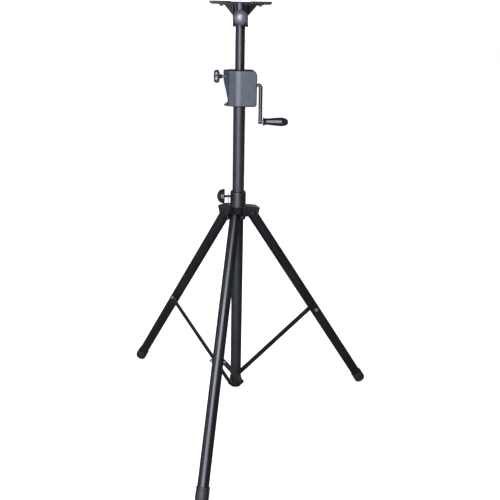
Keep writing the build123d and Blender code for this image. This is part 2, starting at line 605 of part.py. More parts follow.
def lock_boss():
    """Threaded boss welded to the column for the winch's lock screw."""
    boss = rod((-34.0, 0, WINCH_KNOB_Z), (-15.0, 0, WINCH_KNOB_Z), 9.0)
    boss -= Pos(0, 0, 1350) * Cylinder(COLUMN_R, 80, align=BASE)
    return boss - rod((-40, 0, WINCH_KNOB_Z), (-10, 0, WINCH_KNOB_Z), 4.6)


# ---- head ---------------------------------------------------------------------------------
NOTCH_X, NOTCH_Y = 33.5, 36.0
BOLT_X, BOLT_Y = 69.0, 15.0
BOLT_R, BOLT_HEAD_R = 3.0, 6.0
MOUNT_X, MOUNT_Y, MOUNT_HOLE_R = 90.0, 62.0, 4.5
PLATE_SPOTS = [(x * BOLT_X, y * BOLT_Y) for x in (-1, 1) for y in (-1, 1)]
MOUNT_SPOTS = [(x * MOUNT_X, y * MOUNT_Y) for x in (-1, 1) for y in (-1, 1)]


def countersunk(x, y, clearance=0.0):
    """Head and shank of a plate bolt, its head flush with the plate."""
    depth = BOLT_HEAD_R - BOLT_R
    shank_r = BOLT_R + clearance
    head = Pos(x, y, PLATE_TOP - depth) * Cone(shank_r, BOLT_HEAD_R + clearance, depth, align=BASE)
    length = PLATE_THICK + 12
    return head + Pos(x, y, PLATE_TOP - length) * Cylinder(shank_r, length - depth / 2, align=BASE)


def top_plate():
    sheet = RectangleRounded(2 * PLATE_X, 2 * PLATE_Y, 10)
    for side in (-1, 1):
        sheet -= Pos(0, side * (PLATE_Y + NOTCH_Y) / 2) * Rectangle(2 * NOTCH_X, PLATE_Y - NOTCH_Y)
    plate = extrude(Plane.XY.offset(PLATE_TOP - PLATE_THICK) * sheet, PLATE_THICK)
    plate = chamfer(plate.edges().group_by(Axis.Z)[-1], 0.6)
    plate -= Pos(0, 0, PLATE_TOP - 20) * Cylinder(SOCKET_TOP_R - 1.5, 40, align=BASE)
    for x, y in MOUNT_SPOTS:
        plate -= Pos(x, y, PLATE_TOP - 20) * Cylinder(MOUNT_HOLE_R, 40, align=BASE)
    for x, y in PLATE_SPOTS:
        plate -= countersunk(x, y, 0.1)
    return plate


GUSSET_HALF, GUSSET_FOOT_Z, GUSSET_WAIST_Z = 3.0, 1565.0, 1602.0
FLANGE_X, FLANGE_HALF = 82.0, 26.0


def socket_gussets():
    """Side gussets of the casting, running down both sides of the mast, and the bolted flange."""
    under = PLATE_TOP - PLATE_THICK
    rim = [(FLANGE_X, under - 3), (FLANGE_X, under), (-FLANGE_X, under), (-FLANGE_X, under - 3)]
    gusset = [(-57.0, under - 6), (-27.5, GUSSET_WAIST_Z), (-27.5, GUSSET_FOOT_Z)]
    gusset += [(27.5, GUSSET_FOOT_Z), (27.5, GUSSET_WAIST_Z), (57.0, under - 6)]
    flange = slab(rim + [(-57.0, under - 5.5), (57.0, under - 5.5)], upright(FLANGE_HALF), 2 * FLANGE_HALF)
    return flange + slab(rim + gusset, upright(GUSSET_HALF), 2 * GUSSET_HALF)


def adapter_socket():
    """Cast socket over the mast's end, with its flange, gussets and clamp boss."""
    height = PLATE_TOP - 0.5 - SOCKET_BOTTOM
    cast = Pos(0, 0, SOCKET_BOTTOM) * Cone(SOCKET_BOTTOM_R - 1.0, SOCKET_TOP_R - 1.7, height, align=BASE)
    cast += rod((0, -41, HEAD_KNOB_Z), (0, -20, HEAD_KNOB_Z), 13.0) + socket_gussets()
    cast -= Pos(0, 0, GUSSET_FOOT_Z - 1) * Cylinder(MAST_R + 0.3, MAST_TOP + 4 - GUSSET_FOOT_Z, align=BASE)
    cast -= rod((0, -60, HEAD_KNOB_Z), (0, -10, HEAD_KNOB_Z), 5.2)
    cast -= Pos(0, 0, MAST_TOP) * Cylinder(6, 50, align=BASE)
    for x, y in PLATE_SPOTS:
        cast -= Pos(x, y, PLATE_TOP - 40) * Cylinder(BOLT_R + 0.1, 50, align=BASE)
    return cast


def plate_bolt(x, y):
    """Countersunk bolt through plate and flange, and its nut below."""
    low = PLATE_TOP - PLATE_THICK - 9.6
    nut = hexagon((x, y, low), (x, y, low + 4.4), 10.0)
    return [countersunk(x, y), nut - Pos(x, y, low - 5) * Cylinder(BOLT_R, 20, align=BASE)]


# ---- build --------------------------------------------------------------------------------
def build_legs():
    for index, name in enumerate(LEG_NAMES):
        add(f"leg_tube_{name}", on_leg(leg_tube(), index))
        add(f"foot_{name}", on_leg(foot(), index))
        add(f"leg_bolt_{name}", on_leg(leg_bolt(), index))
        add(f"brace_{name}", on_leg(brace_bar(), index))
        add(f"brace_rivet_{name}", on_leg(brace_rivet(), index))
        add(f"leg_bracket_{name}", on_leg(leg_bracket(), index))


def build_column():
    add("column_tube", column_tube())
    add("column_end_cap", column_end_cap())
    add("bottom_collar", bottom_collar())
    add("brace_pivot_bolts", *[on_leg(brace_pivot_bolt(), index) for index in range(3)])
    add("upper_bush", upper_bush())


def build_hub():
    add("hub_collar", hub_collar())
    add("hub_liner", *hub_liner())
    add("leg_pivot_bolts", *[on_leg(piece, index) for index in range(3) for piece in leg_pivot_bolt()])
    add("lock_screw_tab", lock_screw_tab())
    seat = facing((-(COLUMN_R + 0.3), 0, HUB_KNOB_Z), (-1, 0, 0))
    screw_end = 42.5
    add("hub_lock_pad", seat * clamp_pad(HUB_SCREW_R - 0.1))
    add("hub_lock_screw", seat * clamp_screw(screw_end, HUB_SCREW_R))
    knob = domed_knob(29.0, 27.5, 29.5, 7.0, 23.0, HUB_SCREW_R, screw_end)
    add("hub_lock_knob", seat * knob)


def build_winch():
    add("winch_front_cover", cover(True))
    add("winch_rear_cover", cover(False))
    add("cover_screws", *[cover_screw(x, z) for x, z in SCREW_SPOTS])
    add("gear_frame", gear_frame())
    add("crank_bushes", *crank_bushes())
    add("winch_axles", *winch_axles())
    add("guide_roller", guide_roller())
    add("drum_wheel", drum_wheel())
    add("cable_drum", cable_drum())
    add("cable_wraps", cable_wraps())
    add("winch_cable", winch_cable())
    add("lift_cable", rod((CABLE_GAP_X, 0, MAST_BOTTOM + 12.2), (CABLE_GAP_X, 0, ROLLER_Z), CABLE_R))
    add("lock_boss", lock_boss())
    add("crank_arm", crank_arm())
    add("crank_pinion", crank_pinion())
    add("grip_pin", grip_pin())
    add("crank_grip", crank_grip())
    seat = facing((-(MAST_R + 0.3), 0, WINCH_KNOB_Z), (-1, 0, 0))
    screw_end = 64.0
    add("mast_lock_pad", seat * clamp_pad(WINCH_SCREW_R))
    add("mast_lock_screw", seat * clamp_screw(screw_end, WINCH_SCREW_R))
    knob = lobed_knob(24.0, 4, 9.0, 55.5, 77.0, 5.6, 45.0, WINCH_SCREW_R, screw_end)
    add("mast_lock_knob", seat * knob)


def build_mast():
    add("mast_tube", pipe((0, 0, MAST_BOTTOM), (0, 0, MAST_TOP), MAST_R, MAST_R - MAST_WALL))
    add("mast_bush", mast_bush())


def build_head():
    add("top_plate", top_plate())
    add("adapter_socket", adapter_socket())
    add("plate_bolts", *[piece for x, y in PLATE_SPOTS for piece in plate_bolt(x, y)])
    seat = facing((0, -(MAST_R + 0.3), HEAD_KNOB_Z), (0, -1, 0))
    screw_end = 48.0
    add("head_lock_pad", seat * clamp_pad(HEAD_SCREW_R - 0.1))
    add("head_lock_screw", seat * clamp_screw(screw_end, HEAD_SCREW_R))
    knob = domed_knob(24.5, 20.0, 36.0, 5.0, 17.0, HEAD_SCREW_R, screw_end)
    add("head_lock_knob", seat * knob)


build_legs()
build_column()
build_hub()
build_winch()
build_mast()
build_head()

os.makedirs("parts", exist_ok=True)
for name, shape in nodes.items():
    export_step(shape, f"parts/{name}.step")
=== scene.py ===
import json
import math
import random

import bmesh
import bpy
from mathutils import Matrix, Vector


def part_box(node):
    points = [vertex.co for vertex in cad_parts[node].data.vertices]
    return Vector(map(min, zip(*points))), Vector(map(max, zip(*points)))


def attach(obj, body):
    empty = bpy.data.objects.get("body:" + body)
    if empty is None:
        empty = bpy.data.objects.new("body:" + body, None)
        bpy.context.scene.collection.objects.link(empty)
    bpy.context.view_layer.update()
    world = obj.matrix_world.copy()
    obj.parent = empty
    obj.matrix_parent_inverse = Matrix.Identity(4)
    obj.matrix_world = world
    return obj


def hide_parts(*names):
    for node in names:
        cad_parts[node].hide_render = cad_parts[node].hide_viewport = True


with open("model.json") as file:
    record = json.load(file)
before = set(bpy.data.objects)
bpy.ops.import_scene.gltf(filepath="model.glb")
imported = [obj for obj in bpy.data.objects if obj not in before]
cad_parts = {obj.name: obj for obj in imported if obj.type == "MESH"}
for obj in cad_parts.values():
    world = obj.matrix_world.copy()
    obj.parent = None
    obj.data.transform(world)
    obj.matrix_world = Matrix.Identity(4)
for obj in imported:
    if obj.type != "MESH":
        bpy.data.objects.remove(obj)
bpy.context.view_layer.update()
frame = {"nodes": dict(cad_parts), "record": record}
nodes = frame["nodes"]
MM = 0.001
LEGS = ("front", "right", "left")


# ---- node helpers -------------------------------------------------------------------------
class Shader:
    """A material under construction: a Principled shader with a few procedural layers."""

    def __init__(self, name):
        self.material = bpy.data.materials.new(name)
        self.material.use_nodes = True
        self.tree = self.material.node_tree
        self.surface = self.tree.nodes["Principled BSDF"]
        self.place = self.tree.nodes.new("ShaderNodeTexCoord").outputs["Object"]
        self.normal = None

    @classmethod
    def again(cls, material):
        """An existing material, opened for more layers."""
        shader = cls.__new__(cls)
        shader.material, shader.tree, shader.normal = material, material.node_tree, None
        shader.surface = shader.tree.nodes["Principled BSDF"]
        shader.place = shader.tree.nodes["Texture Coordinate"].outputs["Object"]
        return shader

    def node(self, kind, **settings):
        made = self.tree.nodes.new("ShaderNode" + kind)
        for key, value in settings.items():
            setattr(made, key, value)
        return made

    def link(self, source, target):
        self.tree.links.new(source, target)

    def set(self, **values):
        for key, value in values.items():
            self.surface.inputs[key.replace("_", " ")].default_value = value

    def noise(self, scale, detail=3.0, stretch=(1, 1, 1), rough=0.55):
        """Noise between 0 and 1; scale is in features per metre."""
        place = self.place
        if stretch != (1, 1, 1):
            mapping = self.node("Mapping")
            mapping.inputs["Scale"].default_value = stretch
            self.link(place, mapping.inputs["Vector"])
            place = mapping.outputs["Vector"]
        texture = self.node("TexNoise")
        texture.inputs["Scale"].default_value = scale
        texture.inputs["Detail"].default_value = detail
        texture.inputs["Roughness"].default_value = rough
        self.link(place, texture.inputs["Vector"])
        return texture.outputs["Fac"]

    def ramp(self, value, low, high, to_low=0.0, to_high=1.0):
        """Value mapped from low..high to to_low..to_high, smooth and clamped."""
        mapped = self.node("MapRange", interpolation_type="SMOOTHSTEP")
        for key, number in (("From Min", low), ("From Max", high), ("To Min", to_low), ("To Max", to_high)):
            mapped.inputs[key].default_value = number
        self.link(value, mapped.inputs["Value"])
        return mapped.outputs["Result"]

    def mix(self, share, first, second):
        """Colour mixed by share; first and second are colours or sockets."""
        mixed = self.node("Mix", data_type="RGBA")
        self.link(share, mixed.inputs["Factor"])
        for socket, value in ((mixed.inputs["A"], first), (mixed.inputs["B"], second)):
            self.give(socket, value)
        return mixed.outputs["Result"]

    def give(self, socket, value):
        if isinstance(value, bpy.types.NodeSocket):
            self.link(value, socket)
        else:
            socket.default_value = (*value, 1.0) if len(value) == 3 else value

    def maths(self, operation, first, second):
        made = self.node("Math", operation=operation)
        for socket, value in zip(made.inputs, (first, second)):
            if isinstance(value, bpy.types.NodeSocket):
                self.link(value, socket)
            else:
                socket.default_value = value
        return made.outputs["Value"]

    def bump(self, height, strength, distance):
        made = self.node("Bump")
        made.inputs["Strength"].default_value = strength
        made.inputs["Distance"].default_value = distance
        self.link(height, made.inputs["Height"])
        if self.normal is not None:
            self.link(self.normal, made.inputs["Normal"])
        self.normal = made.outputs["Normal"]

    def finish(self, colour=None, roughness=None):
        if colour is not None:
            self.link(colour, self.surface.inputs["Base Color"])
        if roughness is not None:
            self.link(roughness, self.surface.inputs["Roughness"])
        if self.normal is not None:
            self.link(self.normal, self.surface.inputs["Normal"])
        return self.material


def painted(name, colour, worn, gloss, peel, specular=0.5, drift=0.25, depth=0.00012):
    """Sprayed or powder-coated metal: orange peel, cloudy gloss, fine scuffs."""
    s = Shader(name)
    s.set(IOR=1.5)
    s.surface.inputs["Specular IOR Level"].default_value = specular
    cloud = s.noise(9.0, 4.0)
    scuff = s.noise(420.0, 6.0, (1.0, 1.0, 0.06), 0.7)
    marks = s.ramp(scuff, 0.66, 0.80)
    patches = s.ramp(s.noise(26.0, 5.0), 0.50, 0.72)
    wear = s.maths("MULTIPLY", marks, patches)
    low, high = [c * (1 - drift) for c in colour], [c * (1 + drift) for c in colour]
    tone = s.mix(s.ramp(cloud, 0.3, 0.7), low, high)
    tone = s.mix(wear, tone, worn)
    clouded = s.ramp(cloud, 0.3, 0.7, gloss - 0.04, gloss + 0.05)
    rough = s.maths("ADD", clouded, s.maths("MULTIPLY", wear, 0.18))
    s.bump(s.noise(peel, 2.0), 0.22, depth)
    s.bump(wear, 0.25, 0.00005)
    return s.finish(tone, rough)


def moulded(name, colour, gloss, grain, depth, specular=0.5, speckle=0.12):
    """Moulded plastic or rubber: spark-eroded grain, faint flow marks."""
    s = Shader(name)
    s.surface.inputs["Specular IOR Level"].default_value = specular
    cloud = s.noise(35.0, 4.0)
    grit = s.noise(grain, 3.0, rough=0.6)
    low = [c * (1 - speckle) for c in colour]
    high = [c * (1 + speckle) for c in colour]
    tone = s.mix(s.ramp(cloud, 0.3, 0.7), low, high)
    tone = s.mix(s.ramp(grit, 0.55, 0.8, 0.0, 0.35), tone, [min(1.0, c * 1.6) for c in colour])
    rough = s.ramp(s.noise(60.0, 5.0), 0.25, 0.75, gloss - 0.05, gloss + 0.07)
    s.bump(grit, 0.5, depth)
    return s.finish(tone, rough)


def bare_metal(name, colour, gloss, brushed=(1, 1, 1), tarnish=(0.2, 0.19, 0.17), scale=700.0):
    """Plated or machined metal: brush lines, tarnish clouds."""
    s = Shader(name)
    s.set(Metallic=1.0)
    lines = s.noise(scale, 4.0, brushed, 0.65)
    cloud = s.ramp(s.noise(60.0, 5.0), 0.45, 0.75, 0.0, 0.55)
    tone = s.mix(cloud, colour, tarnish)
    tone = s.mix(s.ramp(lines, 0.35, 0.7, 0.0, 0.35), tone, [c * 0.6 for c in colour])
    lined = s.ramp(lines, 0.3, 0.7, gloss - 0.06, gloss + 0.08)
    rough = s.maths("ADD", lined, s.maths("MULTIPLY", cloud, 0.2))
    s.bump(lines, 0.3, 0.00004)
    return s.finish(tone, rough)


def paint_rim_shade(material, low, high, crease_x):
    """Painted shade: a dark line around a moulding's right, top and bottom rims, and along its crease at
    crease_x.
    """
    s = Shader.again(material)
    split = s.node("SeparateXYZ")
    s.link(s.place, split.inputs[0])
    x, z = split.outputs["X"], split.outputs["Z"]
    fades, full = 4.5 * MM, 1.5 * MM
    right = s.ramp(x, high[0] - fades, high[0] - full)
    top = s.ramp(z, high[2] - fades, high[2] - full)
    bottom = s.ramp(z, low[2] + fades, low[2] + full)
    share = s.maths("MAXIMUM", s.maths("MAXIMUM", right, top), bottom)
    fades, full = 2.8 * MM, 0.8 * MM
    left_side = s.ramp(x, crease_x - fades, crease_x - full)
    right_side = s.ramp(x, crease_x + fades, crease_x + full)
    crease = s.maths("MULTIPLY", left_side, right_side)
    share = s.maths("MAXIMUM", share, s.maths("MULTIPLY", crease, 0.9))
    # painted shade: inside the mask the base colour goes to near-black and the specular drops to 0.25
    colour, specular = s.surface.inputs["Base Color"], s.surface.inputs["Specular IOR Level"]
    s.link(s.mix(share, colour.links[0].from_socket, (0.003, 0.0035, 0.0045)), colour)
    s.link(s.ramp(share, 0.0, 1.0, specular.default_value, 0.25), specular)


BLACK_SCUFF, GREY_SCUFF = (0.03, 0.03, 0.03), (0.10, 0.10, 0.10)
# kind of finish, colour, then its own values by name; the order is the order of making
FINISHES = {
    "black_powder_coat": (painted, (0.0035, 0.0037, 0.0042),
        dict(worn=BLACK_SCUFF, gloss=0.38, peel=900.0, depth=0.00007)),
    "smooth_black_paint": (painted, (0.0045, 0.0048, 0.0055),
        dict(worn=BLACK_SCUFF, gloss=0.13, peel=900.0, depth=0.00001)),
    "leg_paint": (painted, (0.003, 0.0032, 0.0038),
        dict(worn=BLACK_SCUFF, gloss=0.30, peel=900.0, depth=0.00005)),
    "matt_black_paint": (painted, (0.0045, 0.005, 0.006),
        dict(worn=BLACK_SCUFF, gloss=0.48, peel=900.0, depth=0.00007)),
    "satin_mast_paint": (painted, (0.004, 0.0045, 0.0055),
        dict(worn=(0.04, 0.04, 0.045), gloss=0.31, peel=1300.0, depth=0.00003)),
    "case_plastic": (moulded, (0.016, 0.020, 0.027),
        dict(gloss=0.47, grain=1500.0, depth=0.00010, specular=0.62)),
    "crank_paint": (painted, (0.006, 0.0065, 0.008),
        dict(worn=GREY_SCUFF, gloss=0.30, peel=1100.0, depth=0.00005)),
    "gloss_black_plastic": (moulded, (0.005, 0.0055, 0.0065),
        dict(gloss=0.13, grain=2600.0, depth=0.000006)),
    "zinc_steel": (bare_metal, (0.32, 0.33, 0.35), dict(gloss=0.44, scale=900.0)),
    "machined_steel": (bare_metal, (0.42, 0.42, 0.43), dict(gloss=0.30, brushed=(6, 1, 1))),
    "steel_rope": (bare_metal, (0.46, 0.46, 0.45), dict(gloss=0.38, brushed=(1, 1, 0.3), scale=1600.0)),
    "sintered_bronze": (bare_metal, (0.55, 0.36, 0.18),
        dict(gloss=0.42, tarnish=(0.16, 0.11, 0.06), scale=2200.0)),
    "nylon": (moulded, (0.022, 0.022, 0.025), dict(gloss=0.40, grain=1900.0, depth=0.00005)),
    "grey_plastic": (moulded, (0.038, 0.036, 0.050),
        dict(gloss=0.42, grain=1800.0, depth=0.00002, specular=1.0)),
    "knob_plastic": (moulded, (0.012, 0.013, 0.017),
        dict(gloss=0.27, grain=1800.0, depth=0.00002, specular=0.8)),
    "blackened_steel": (bare_metal, (0.05, 0.05, 0.055), dict(gloss=0.35, tarnish=(0.09, 0.07, 0.06))),
    "foot_rubber": (moulded, (0.0045, 0.0045, 0.0045), dict(gloss=0.58, grain=1300.0, depth=0.00016)),
}
MATERIALS = {name: make(name, colour, **values) for name, (make, colour, values) in FINISHES.items()}
SLOT_OF = {row["node"]: row["material_slot"] for row in frame["record"]["subparts"]}


def dress(obj, material):
    obj.data.materials.clear()
    obj.data.materials.append(material)


for name, node in nodes.items():
    dress(node, MATERIALS[SLOT_OF[name]])
for name in ("top_plate", "adapter_socket"):
    dress(nodes[name], MATERIALS["smooth_black_paint"])
dress(nodes["column_tube"], MATERIALS["matt_black_paint"])
for name in LEGS:
    dress(nodes[f"leg_tube_{name}"], MATERIALS["leg_paint"])
# painted shade along the winch front cover's rims and along its crease
paint_rim_shade(MATERIALS["case_plastic"], *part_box("winch_front_cover"), crease_x=-42 * MM)


# ---- building pieces ----------------------------------------------------------------------
def facing(origin, axis):
    """Matrix whose Z axis points along axis; origin in metres."""
    return Matrix.Translation(Vector(origin)) @ Vector(axis).to_track_quat("Z", "Y").to_matrix().to_4x4()


def spin(bm, outline, place, steps=48):
    """Closed skin about Z. outline(angle) gives (radius, height) points in mm, pole to pole."""
    angles = [math.tau * step / steps for step in range(steps)]
    columns = []
    for angle in angles:
        points = [Vector((r * math.cos(angle), r * math.sin(angle), z)) * MM for r, z in outline(angle)]
        columns.append([place @ point for point in points])
    low, high = bm.verts.new(columns[0][0]), bm.verts.new(columns[0][-1])
    grid = [[bm.verts.new(point) for point in column[1:-1]] for column in columns]
    for here, there in zip(grid, grid[1:] + grid[:1]):
        bm.faces.new((low, there[0], here[0]))
        for a, b, c, d in zip(here, there, there[1:], here[1:]):
            bm.faces.new((a, b, c, d))
        bm.faces.new((high, here[-1], there[-1]))


def sweep(bm, points, radius, sides=10, closed=False):
    """Round skin along points in metres; radius(share along the path, index) in mm."""
    count = len(points)
    rings = []
    for index, point in enumerate(points):
        before = points[index - 1] if index or closed else point
        after = points[(index + 1) % count] if index < count - 1 or closed else point
        turn = (after - before).to_track_quat("Z", "Y")
        size = radius(index / (count - 1), index) * MM
        ring = []
        for side in range(sides):
            angle = math.tau * side / sides
            spoke = Vector((size * math.cos(angle), size * math.sin(angle), 0))
            ring.append(bm.verts.new(point + turn @ spoke))
        rings.append(ring)
    pairs = list(zip(rings, rings[1:] + (rings[:1] if closed else [])))
    for here, there in pairs:
        for side in range(sides):
            ahead = (side + 1) % sides
            bm.faces.new((here[side], here[ahead], there[ahead], there[side]))
    if not closed:
        bm.faces.new(rings[0])
        bm.faces.new(rings[-1])


def piece(name, bm, slot, body, *replaced, sharp=32.0):
    """Turns bm into an object of the part: its finish, the body it rides on, the nodes it stands for."""
    bmesh.ops.remove_doubles(bm, verts=bm.verts, dist=1e-6)
    bmesh.ops.recalc_face_normals(bm, faces=bm.faces)
    mesh = bpy.data.meshes.new(name)
    bm.to_mesh(mesh)
    bm.free()
    for polygon in mesh.polygons:
        polygon.use_smooth = True
    mesh.set_sharp_from_angle(angle=math.radians(sharp))
    made = bpy.data.objects.new(name, mesh)
    bpy.context.scene.collection.objects.link(made)
    dress(made, MATERIALS[slot])
    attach(made, body)
    if replaced:
        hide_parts(*replaced)
    return made


def middle(node):
    low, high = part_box(node)
    return (Vector(low) + Vector(high)) / 2


def radius_of(node):
    """Half the width in x of a round node, in metres."""
    low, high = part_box(node)
    return (high[0] - low[0]) / 2


# ---- outlines, in mm ----------------------------------------------------------------------
def plain(*points):
    return lambda angle: points


def hexagon(across, low, high, chamfer_high=True, chamfer_low=False):
    """Hexagon head or nut with its corners turned off at 30 degrees."""
    flat = across / 2
    slope = math.tan(math.radians(30))

    def outline(angle):
        reach = flat / math.cos((angle + math.pi / 6) % (math.pi / 3) - math.pi / 6)
        crown, square = flat * 0.96, flat * 0.98
        drop = (reach - crown) * slope
        bottom = [(crown, low), (reach, low + drop)] if chamfer_low else [(square, low), (reach, low)]
        top = [(reach, high - drop), (crown, high)] if chamfer_high else [(reach, high), (square, high)]
        return [(0, low), *bottom, *top, (0, high)]
    return outline


def washer(radius, low, high):
    edge = min(0.3, (high - low) / 3)
    below = [(0, low), (radius - edge, low), (radius, low + edge)]
    above = [(radius, high - edge), (radius - edge, high), (0, high)]
    return plain(*below, *above)


def thread(radius, low, high, pitch, per_turn=6):
    """Screw thread with a tapered start and end."""
    rows = int((high - low) / pitch * per_turn)
    depth = 0.55 * pitch

    def outline(angle):
        points = [(0, low)]
        for row in range(rows + 1):
            z = low + (high - low) * row / rows
            phase = (z / pitch - angle / math.tau) % 1.0
            cut = depth * abs(2 * phase - 1)
            taper = min(1.0, (z - low) / pitch + 0.15, (high - z) / pitch + 0.15)
            points.append((radius - cut * taper - depth * (1 - taper), z))
        return points + [(0, high)]
    return outline


def smooth(points, per_span=6):
    """Rounded version of a run of (radius, height) points."""
    out = []
    for index in range(len(points) - 1):
        p0 = points[max(index - 1, 0)]
        p1, p2 = points[index], points[index + 1]
        p3 = points[min(index + 2, len(points) - 1)]
        for step in range(per_span):
            t = step / per_span
            mixed = []
            for a, b, c, d in zip(p0, p1, p2, p3):
                bend, twist = 2 * a - 5 * b + 4 * c - d, 3 * b - a - 3 * c + d
                mixed.append(0.5 * (2 * b + (c - a) * t + bend * t * t + twist * t**3))
            out.append((max(mixed[0], 0.0), mixed[1]))
    return out + [points[-1]]


# ---- bolts --------------------------------------------------------------------------------
JOINTS = {joint["name"]: joint for joint in frame["record"]["behaviour"]["joints"]}


def leg_axis(name):
    """Pivot of a leg at the hub, its sideways direction and its outward direction."""
    joint = JOINTS[f"leg_fold_{name}"]
    side = Vector(joint["axis"])
    return Vector(joint["pos_m"]), side, side.cross(Vector((0, 0, 1)))


def reach_along(node, origin, direction):
    """Nearest and furthest extent of a node's corners along a direction, in mm from origin."""
    spans = [(vertex.co - origin).dot(direction) / MM for vertex in nodes[node].data.vertices]
    return min(spans), max(spans)


def add_pivot_bolts():
    """Bolt, nut and nylon washers at each leg's hub pivot."""
    bm = bmesh.new()
    for name in LEGS:
        pivot, side, _ = leg_axis(name)
        place = facing(pivot, side)
        face = reach_along(f"leg_bracket_{name}", pivot, side)[1]
        spin(bm, hexagon(13.0, -face - 5.0, -face - 0.9, chamfer_high=False, chamfer_low=True), place, 72)
        spin(bm, washer(7.6, -face - 1.0, -face), place)
        spin(bm, washer(7.6, face, face + 1.0), place)
        spin(bm, hexagon(13.0, face + 0.9, face + 6.5, chamfer_low=True), place, 72)
        spin(bm, thread(4.0, -face + 2, face + 8, 1.25), place, 24)
    piece("pivot_bolts", bm, "blackened_steel", "hub", "leg_pivot_bolts")


def add_brace_pivot_bolts():
    """Bolt head and washer outside each brace's lower end."""
    bm = bmesh.new()
    for name in LEGS:
        joint = JOINTS[f"brace_fold_{name}"]
        side = -Vector(joint["axis"])
        foot = Vector(joint["pos_m"])
        foot -= side * foot.dot(side)
        outer = 31.25
        place = facing(foot, side)
        spin(bm, washer(8.0, outer, outer + 1.1), place)
        spin(bm, hexagon(13.0, outer + 1.0, outer + 5.0), place, 72)
        spin(bm, washer(4.0, 22.8, outer + 0.5), place, 24)
    piece("brace_foot_bolts", bm, "blackened_steel", "column", "brace_pivot_bolts")


def add_leg_bolts():
    """Upper bolt of each brace: nut end on the leg, head end on the brace."""
    for name in LEGS:
        _, side, _ = leg_axis(name)
        centre = middle(f"leg_bolt_{name}")
        centre -= side * centre.dot(side)
        place = facing(centre, side)
        low, high = reach_along(f"leg_bolt_{name}", centre, side)
        bm = bmesh.new()
        face = low + 11.5
        spin(bm, thread(4.0, low, face, 1.25), place, 24)
        spin(bm, washer(4.0, face - 1, high), place, 24)
        spin(bm, washer(8.5, face - 1.4, face), place)
        spin(bm, hexagon(13.0, face - 7.9, face - 1.3, chamfer_low=True), place, 72)
        piece(f"brace_nut_{name}", bm, "zinc_steel", f"leg_{name}", f"leg_bolt_{name}")
        low, high = reach_along(f"brace_rivet_{name}", centre, side)
        bm = bmesh.new()
        spin(bm, washer(4.1, low, high - 3.5), place, 24)
        spin(bm, washer(8.0, high - 5.0, high - 3.3), place)
        dome = [(4.9, high - 1.6), (4.2, high - 0.7), (2.6, high - 0.15), (0, high)]
        spin(bm, lambda angle: hexagon(11.0, high - 3.4, high - 1.4)(angle)[:-1] + dome, place, 72)
        piece(f"brace_bolt_{name}", bm, "zinc_steel", f"brace_{name}", f"brace_rivet_{name}")


def add_cover_screws():
    """Pan heads with a cross recess on the winch's rear cover, centred on the tips of the CAD screws."""
    bm = bmesh.new()
    low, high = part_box("cover_screws")
    back, tips_end, apart = high[1], low[1] + MM / 2, 10 * MM
    corners = [vertex.co for vertex in nodes["cover_screws"].data.vertices]
    spots = sorted({(round(co.x, 4), round(co.z, 4)) for co in corners if co.y < tips_end})
    centres = []
    for x, z in spots:
        near = [c for c in centres if abs(c[0] - x) < apart and abs(c[1] - z) < apart]
        if not near:
            group = [s for s in spots if abs(s[0] - x) < apart and abs(s[1] - z) < apart]
            xs, zs = [s[0] for s in group], [s[1] for s in group]
            centres.append(((min(xs) + max(xs)) / 2, (min(zs) + max(zs)) / 2))
    for x, z in centres:
        place = facing((x, back - 2.2 * MM, z), (0, 1, 0))

        def head(angle):
            arm = abs(math.cos(2 * angle)) ** 8
            depth = 1.3 * arm
            return [(0, -54.0), (1.5, -54.0), (1.5, 0), (3.6, 0), (3.6, 0.7), (3.2, 1.6), (2.3, 2.15),
                    (1.9, 2.2 - depth * 0.9), (0.7, 0.9), (0, 0.8)]
        spin(bm, head, place, 64)
    piece("case_screws", bm, "zinc_steel", "column", "cover_screws")


def add_plate_bolts():
    """Countersunk socket heads flush with the plate, with their nuts below."""
    low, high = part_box("plate_bolts")
    top = high[2] / MM
    bm = bmesh.new()
    for x in (low[0] + 6 * MM, high[0] - 6 * MM):
        for y in (low[1] + 6 * MM, high[1] - 6 * MM):
            place = facing((x, y, 0), (0, 0, 1))

            def head(angle):
                socket = 1.75 / math.cos((angle + math.pi / 6) % (math.pi / 3) - math.pi / 6)
                shank = [(0, top - 14.4), (2.6, top - 14.4), (3.0, top - 14.0), (3.0, top - 3)]
                face = [(5.9, top - 0.25), (5.8, top), (socket + 0.15, top)]
                return shank + face + [(socket, top - 0.2), (socket, top - 2.0), (0, top - 2.4)]
            spin(bm, head, place, 72)
            nut = top - 13.6
            spin(bm, hexagon(10.0, nut, nut + 3.0, chamfer_low=True), place, 72)
            spin(bm, washer(6.2, nut + 2.9, nut + 3.7), place)
            spin(bm, thread(3.0, top - 14.6, nut + 0.5, 1.0), place, 24)
    piece("plate_screws", bm, "zinc_steel", "head", "plate_bolts")


# ---- lock screws and knobs ----------------------------------------------------------------
def lock_frame(prefix):
    """Place of a lock's pad, with Z pointing out along the screw; distances then in mm."""
    outward = Vector(JOINTS[f"{prefix}_lock_turn"]["axis"])
    centre = middle(f"{prefix}_lock_screw")
    centre -= outward * centre.dot(outward)
    return facing(centre, outward), outward


def add_lock_screw(prefix, radius):
    """Threaded rod of a lock, as long as its CAD screw."""
    place, outward = lock_frame(prefix)
    origin = place.to_translation()
    low, high = reach_along(f"{prefix}_lock_screw", origin, outward)
    bm = bmesh.new()
    spin(bm, thread(radius, low, high, 1.5), place, 32)
    slot = SLOT_OF[f"{prefix}_lock_screw"]
    piece(f"{prefix}_thread", bm, slot, f"{prefix}_knob", f"{prefix}_lock_screw")


